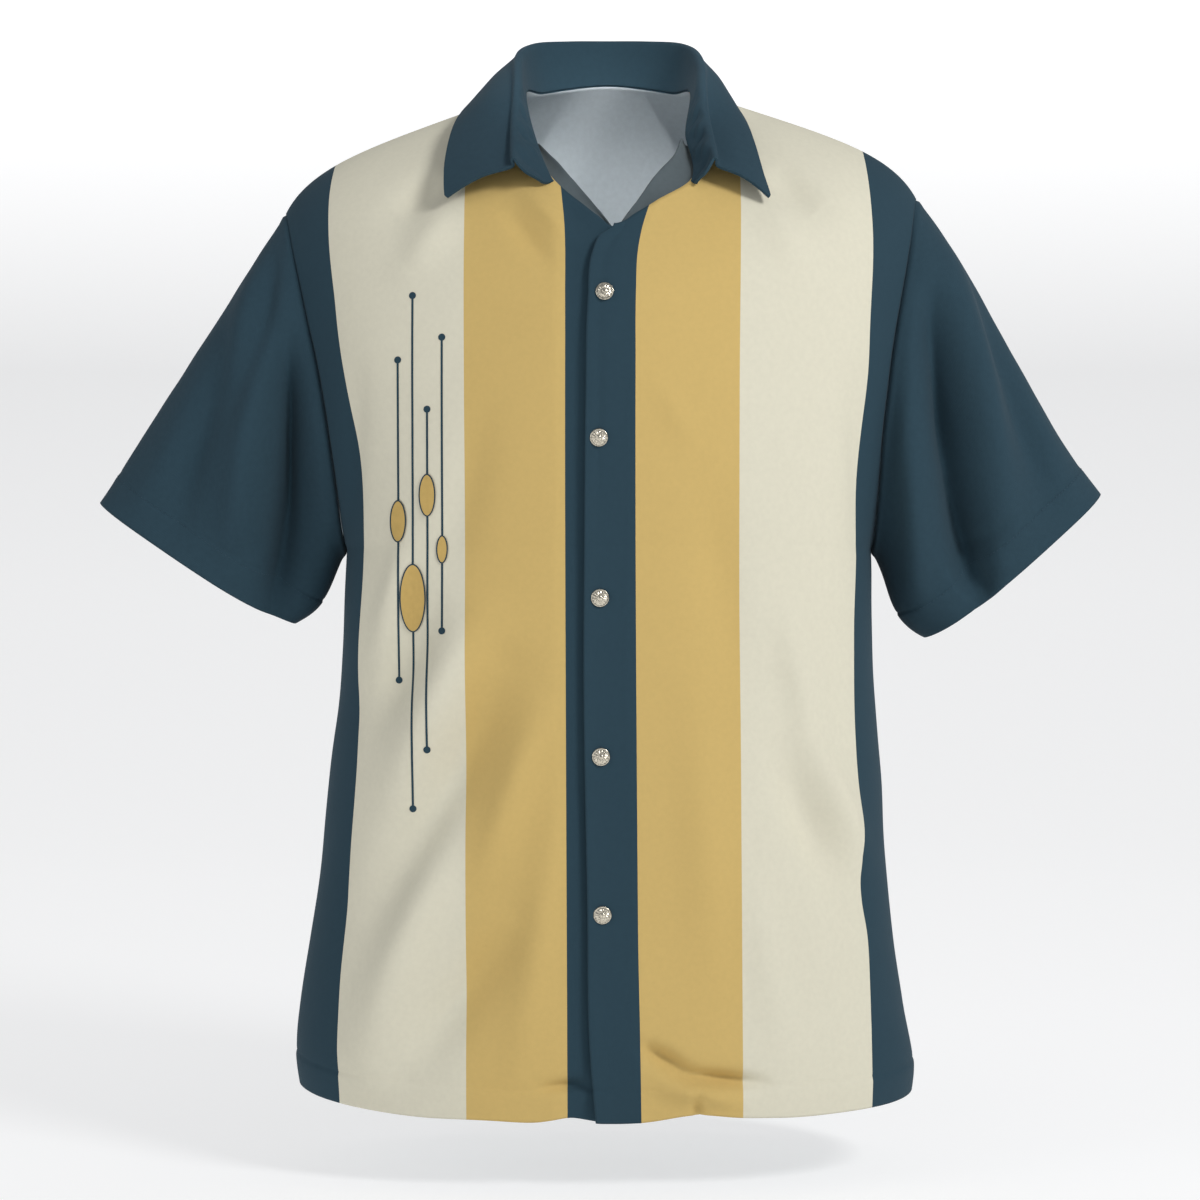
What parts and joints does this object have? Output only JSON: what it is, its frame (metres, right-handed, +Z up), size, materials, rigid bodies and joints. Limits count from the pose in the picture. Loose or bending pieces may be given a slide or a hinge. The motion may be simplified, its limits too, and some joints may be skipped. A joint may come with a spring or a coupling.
{
  "type": "bowling shirt",
  "caption": "Short-sleeved bowling shirt in navy, gold and cream panels with a camp collar and metal buttons, hollow as worn.",
  "frame": {"origin": "middle of the neck opening at the height of the shoulder seams, where the wearer's shoulders carry the shirt", "axes": "+Z up, -Y the wearer's front with the buttons, +X the wearer's left"},
  "size_m": [0.733, 0.2644, 0.7908],
  "materials": {
    "striped_cloth": "matte",
    "navy_cloth": "matte",
    "cloth_inside": "matte",
    "button_metal": "polished"
  },
  "bodies": {
    "root": {"back": "navy_cloth", "front_left": "striped_cloth", "front_right": "striped_cloth", "sleeve_left": "navy_cloth", "sleeve_right": "navy_cloth", "collar": "navy_cloth", "facing_left": "cloth_inside", "facing_right": "cloth_inside", "button_1": "button_metal", "button_2": "button_metal", "button_3": "button_metal", "button_4": "button_metal", "button_5": "button_metal"}
  },
  "joints": []
}
